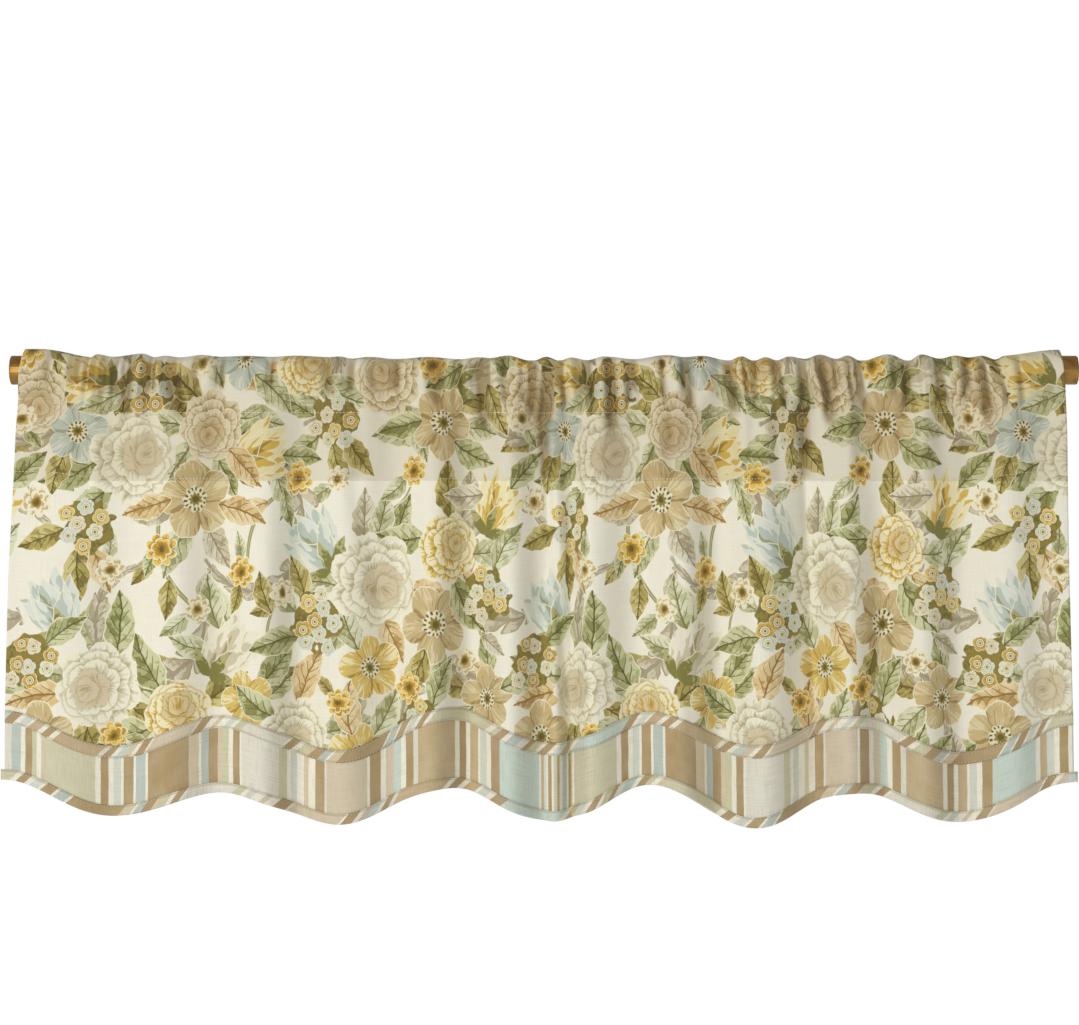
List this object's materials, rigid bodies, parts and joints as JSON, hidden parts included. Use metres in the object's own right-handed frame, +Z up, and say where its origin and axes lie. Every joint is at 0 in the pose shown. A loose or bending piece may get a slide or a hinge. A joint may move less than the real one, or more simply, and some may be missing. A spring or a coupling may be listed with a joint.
{
  "type": "window valance on its rod",
  "caption": "Gathered rod-pocket window valance of printed cotton with a scalloped striped band and bias trims, hanging on a round brass-coloured rod with plain end caps.",
  "frame": {"origin": "on the rod's axis, at the middle of the rod's length", "axes": "+X along the rod to the right as seen from the room, +Y away from the room towards the window, +Z up"},
  "size_m": [1.0403, 0.0366, 0.4621],
  "materials": {
    "floral_cotton": "cream plain-weave cotton, printed with flowers and leaves",
    "striped_cotton": "plain-weave cotton in upright stripes of sage, tan, aqua and cream",
    "striped_tape": "the striped cotton cut on the bias, folded and topstitched",
    "antique_brass": "satin antique brass"
  },
  "bodies": {
    "root": {"floral_panel": "floral_cotton", "striped_band": "striped_cotton", "seam_trim": "striped_tape", "hem_binding": "striped_tape", "rod": "antique_brass", "end_cap_left": "antique_brass", "end_cap_right": "antique_brass"}
  },
  "joints": []
}
